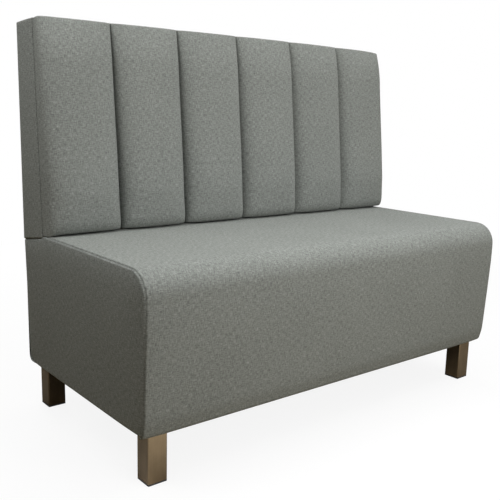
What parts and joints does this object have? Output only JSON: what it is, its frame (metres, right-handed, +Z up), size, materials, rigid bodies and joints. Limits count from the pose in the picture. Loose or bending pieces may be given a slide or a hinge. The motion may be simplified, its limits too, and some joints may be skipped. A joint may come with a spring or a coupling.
{
  "type": "modular sofa unit",
  "caption": "Armless upholstered bench sofa unit with a padded sprung seat, an upright vertically fluted back and square metal tube legs, for seating people in a row.",
  "frame": {"origin": "on the floor, under the middle of the unit's outer box", "axes": "X runs to the right as seen from the front, Y to the back and Z up"},
  "size_m": [1.2, 0.615, 1.0065],
  "materials": {
    "plywood": "bare birch plywood",
    "timber": "planed softwood",
    "foam": "cut polyurethane foam",
    "felt": "needled felt",
    "grey_weave": "grey melange wool weave",
    "dust_cloth": "black non-woven cloth",
    "spring_steel": "drawn wire",
    "zinc_steel": "zinc plated",
    "polished_steel": "polished square tube with a mirror-like face",
    "black_plastic": "moulded black plastic"
  },
  "bodies": {
    "root": {"back_bolts": "zinc_steel", "back_bottom_rail": "timber", "back_cheek_left": "plywood", "back_cheek_right": "plywood", "back_frame_screws": "zinc_steel", "back_middle_rail": "timber", "back_nuts": "zinc_steel", "back_post_centre": "timber", "back_post_left": "timber", "back_post_right": "timber", "back_rear_cover": "grey_weave", "back_side_border_left": "grey_weave", "back_side_border_right": "grey_weave", "back_side_pad_left": "foam", "back_side_pad_right": "foam", "back_top_border": "grey_weave", "back_top_rail": "timber", "back_washers": "zinc_steel", "base_frame_screws": "zinc_steel", "base_front_panel": "plywood", "base_rear_cover": "grey_weave", "base_rear_panel": "plywood", "base_rib_left": "plywood", "base_rib_right": "plywood", "base_side_panel_left": "plywood", "base_side_panel_right": "plywood", "dust_sheet": "dust_cloth", "face_board": "plywood", "felt_sheet": "felt", "flute_cover_1": "grey_weave", "flute_cover_2": "grey_weave", "flute_cover_3": "grey_weave", "flute_cover_4": "grey_weave", "flute_cover_5": "grey_weave", "flute_cover_6": "grey_weave", "flute_foam_1": "foam", "flute_foam_2": "foam", "flute_foam_3": "foam", "flute_foam_4": "foam", "flute_foam_5": "foam", "flute_foam_6": "foam", "front_pad": "foam", "leg_blocks": "timber", "leg_front_left": "polished_steel", "leg_front_right": "polished_steel", "leg_glides": "black_plastic", "leg_rear_left": "polished_steel", "leg_rear_right": "polished_steel", "leg_studs": "zinc_steel", "leg_tee_nuts": "zinc_steel", "seat_cover": "grey_weave", "seat_foam": "foam", "seat_side_pad_left": "foam", "seat_side_pad_right": "foam", "seat_springs": "spring_steel", "side_facing_left": "grey_weave", "side_facing_right": "grey_weave", "spring_clips": "spring_steel", "spring_rail_front": "timber", "spring_rail_rear": "timber"}
  },
  "joints": []
}
